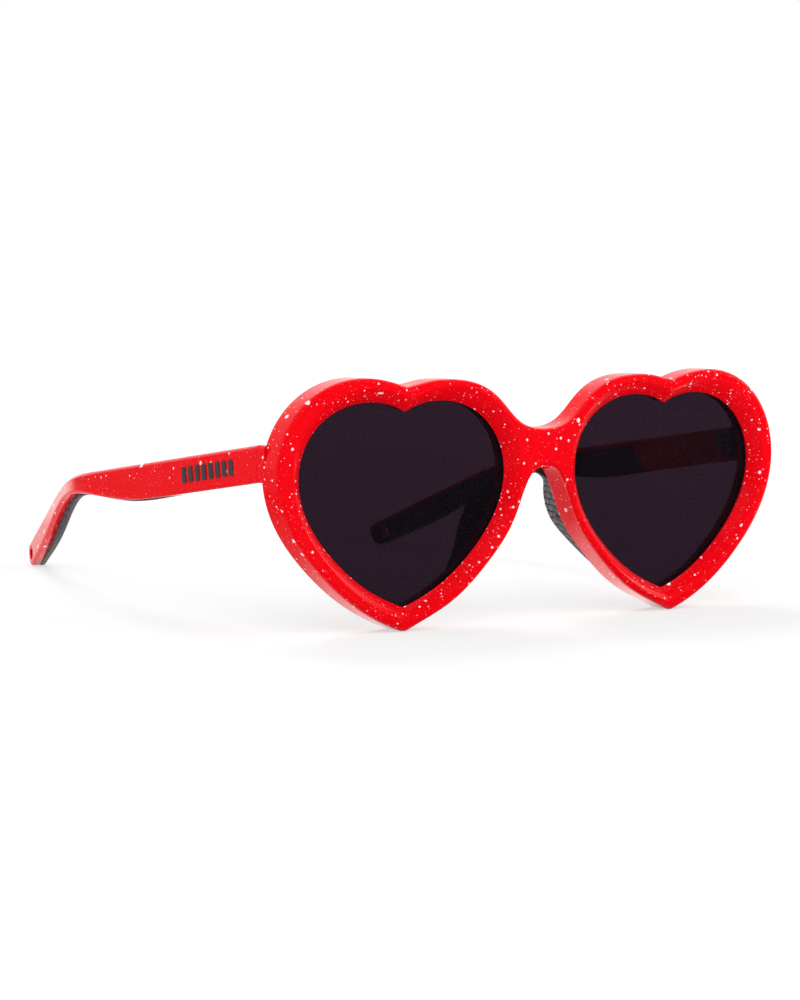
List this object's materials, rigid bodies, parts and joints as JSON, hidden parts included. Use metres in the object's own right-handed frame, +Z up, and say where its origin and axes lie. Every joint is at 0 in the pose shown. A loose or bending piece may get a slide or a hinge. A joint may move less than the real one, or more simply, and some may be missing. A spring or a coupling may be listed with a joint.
{
  "type": "heart shaped sunglasses",
  "caption": "Sunglasses with heart shaped rims, dark tinted lenses, a rubber nose piece and temples that fold inwards on metal hinges.",
  "frame": {"origin": "on the ground, under the middle of the object's bounding box, with the temples open", "axes": "+X to the wearer's left along the front, +Y backwards along the temples, +Z up; the object rests on its heart tips and temple tips"},
  "size_m": [0.1412, 0.137, 0.0553],
  "materials": {
    "speckled_red": "gloss, with fine pale speckles",
    "tinted_lens": "polished, dark see-through tint",
    "nose_rubber": "matt, embossed tread",
    "grip_rubber": "matt, fine grain",
    "rib_plastic": "satin",
    "hinge_metal": "dark nickel, satin",
    "screw_metal": "dark, slotted"
  },
  "bodies": {
    "front": {"front_frame": "speckled_red", "nose_piece": "nose_rubber", "lens_left": "tinted_lens", "lens_right": "tinted_lens", "front_hinge_leaf_left": "hinge_metal", "front_hinge_leaf_right": "hinge_metal", "front_hinge_screws_left": "screw_metal", "front_hinge_screws_right": "screw_metal", "hinge_screw_left": "screw_metal", "hinge_screw_right": "screw_metal"},
    "temple_left": {"temple_left": "speckled_red", "temple_grip_left": "grip_rubber", "temple_ribs_left": "rib_plastic", "temple_hinge_leaf_left": "hinge_metal", "temple_hinge_screws_left": "screw_metal"},
    "temple_right": {"temple_right": "speckled_red", "temple_grip_right": "grip_rubber", "temple_ribs_right": "rib_plastic", "temple_hinge_leaf_right": "hinge_metal", "temple_hinge_screws_right": "screw_metal"}
  },
  "joints": [
    {"name": "temple_left_fold", "type": "hinge", "parent": "front", "child": "temple_left", "pos_m": [0.06475, -0.057, 0.03691], "axis": [0, 0.0213, 0.9998], "range_deg": [0, 84]},
    {"name": "temple_right_fold", "type": "hinge", "parent": "front", "child": "temple_right", "pos_m": [-0.06475, -0.057, 0.03691], "axis": [0, -0.0213, -0.9998], "range_deg": [0, 72]}
  ]
}
